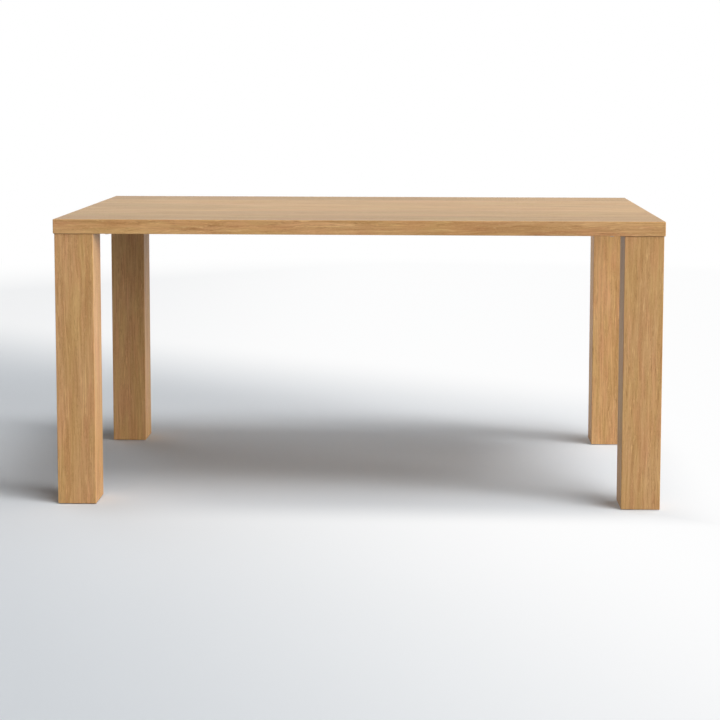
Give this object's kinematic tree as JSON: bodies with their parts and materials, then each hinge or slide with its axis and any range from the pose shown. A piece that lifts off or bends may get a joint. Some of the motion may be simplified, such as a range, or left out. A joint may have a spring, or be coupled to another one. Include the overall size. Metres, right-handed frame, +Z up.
{
  "type": "parsons dining table",
  "caption": "Rectangular parsons dining table in oak veneer: flat slab top flush with thick square corner legs, no apron, with levelling feet screwed into the legs.",
  "frame": {"origin": "on the floor under the middle of the tabletop, at the bottom centre of the overall box", "axes": "+X along the table's length, to the right seen from the front; +Y across, from the front to the back; +Z up"},
  "size_m": [1.6, 0.9, 0.762],
  "materials": {
    "oak_veneer": "clear satin lacquer on straight-grained white oak veneer",
    "oak_lipping": "clear satin lacquer on solid white oak",
    "mdf": "raw fibreboard, sealed inside",
    "poplar": "planed hardwood, unfinished",
    "black_steel": "black powder coat",
    "zinc_steel": "bright zinc plate",
    "black_nylon": "moulded black nylon"
  },
  "bodies": {
    "table": {"top_face_veneer": "oak_veneer", "top_upper_skin": "mdf", "top_lower_skin": "mdf", "top_underside_veneer": "oak_veneer", "top_front_lipping": "oak_lipping", "top_back_lipping": "oak_lipping", "top_left_lipping": "oak_lipping", "top_right_lipping": "oak_lipping", "top_front_rail": "poplar", "top_back_rail": "poplar", "top_left_rail": "poplar", "top_right_rail": "poplar", "top_cross_ribs": "poplar", "top_long_ribs": "poplar", "plate_bolts": "zinc_steel", "plate_bolt_washers": "zinc_steel", "plate_bolt_inserts": "zinc_steel", "plate_screws": "zinc_steel", "leveller_inserts": "zinc_steel", "front_left_corner_block": "poplar", "front_left_corner_plate": "black_steel", "front_left_leg_top_block": "poplar", "front_left_leg_foot_block": "poplar", "front_left_leg_front_board": "oak_veneer", "front_left_leg_back_board": "oak_veneer", "front_left_leg_left_board": "oak_veneer", "front_left_leg_right_board": "oak_veneer", "front_right_corner_block": "poplar", "front_right_corner_plate": "black_steel", "front_right_leg_top_block": "poplar", "front_right_leg_foot_block": "poplar", "front_right_leg_front_board": "oak_veneer", "front_right_leg_back_board": "oak_veneer", "front_right_leg_left_board": "oak_veneer", "front_right_leg_right_board": "oak_veneer", "back_left_corner_block": "poplar", "back_left_corner_plate": "black_steel", "back_left_leg_top_block": "poplar", "back_left_leg_foot_block": "poplar", "back_left_leg_front_board": "oak_veneer", "back_left_leg_back_board": "oak_veneer", "back_left_leg_left_board": "oak_veneer", "back_left_leg_right_board": "oak_veneer", "back_right_corner_block": "poplar", "back_right_corner_plate": "black_steel", "back_right_leg_top_block": "poplar", "back_right_leg_foot_block": "poplar", "back_right_leg_front_board": "oak_veneer", "back_right_leg_back_board": "oak_veneer", "back_right_leg_left_board": "oak_veneer", "back_right_leg_right_board": "oak_veneer"},
    "front_left_pad": {"front_left_leveller_pad": "black_nylon"},
    "front_left_stem": {"front_left_leveller_stem": "zinc_steel"},
    "front_right_pad": {"front_right_leveller_pad": "black_nylon"},
    "front_right_stem": {"front_right_leveller_stem": "zinc_steel"},
    "back_left_pad": {"back_left_leveller_pad": "black_nylon"},
    "back_left_stem": {"back_left_leveller_stem": "zinc_steel"},
    "back_right_pad": {"back_right_leveller_pad": "black_nylon"},
    "back_right_stem": {"back_right_leveller_stem": "zinc_steel"}
  },
  "joints": [
    {"name": "front_left_leveller_slide", "type": "slide", "parent": "table", "child": "front_left_pad", "axis": [0, 0, 1], "range_m": [-0.012, 0]},
    {"name": "front_left_leveller_turn", "type": "hinge", "parent": "front_left_pad", "child": "front_left_stem", "pos_m": [-0.746, -0.396, 0.0025], "axis": [0, 0, 1], "range_deg": [-3456, 0]},
    {"name": "front_right_leveller_slide", "type": "slide", "parent": "table", "child": "front_right_pad", "axis": [0, 0, 1], "range_m": [-0.012, 0]},
    {"name": "front_right_leveller_turn", "type": "hinge", "parent": "front_right_pad", "child": "front_right_stem", "pos_m": [0.746, -0.396, 0.0025], "axis": [0, 0, 1], "range_deg": [-3456, 0]},
    {"name": "back_left_leveller_slide", "type": "slide", "parent": "table", "child": "back_left_pad", "axis": [0, 0, 1], "range_m": [-0.012, 0]},
    {"name": "back_left_leveller_turn", "type": "hinge", "parent": "back_left_pad", "child": "back_left_stem", "pos_m": [-0.746, 0.396, 0.0025], "axis": [0, 0, 1], "range_deg": [-3456, 0]},
    {"name": "back_right_leveller_slide", "type": "slide", "parent": "table", "child": "back_right_pad", "axis": [0, 0, 1], "range_m": [-0.012, 0]},
    {"name": "back_right_leveller_turn", "type": "hinge", "parent": "back_right_pad", "child": "back_right_stem", "pos_m": [0.746, 0.396, 0.0025], "axis": [0, 0, 1], "range_deg": [-3456, 0]}
  ],
  "couplings": [
    {"joint": "front_left_leveller_turn", "follows": "front_left_leveller_slide", "rad_per_m": 5026.5},
    {"joint": "front_right_leveller_turn", "follows": "front_right_leveller_slide", "rad_per_m": 5026.5},
    {"joint": "back_left_leveller_turn", "follows": "back_left_leveller_slide", "rad_per_m": 5026.5},
    {"joint": "back_right_leveller_turn", "follows": "back_right_leveller_slide", "rad_per_m": 5026.5}
  ]
}
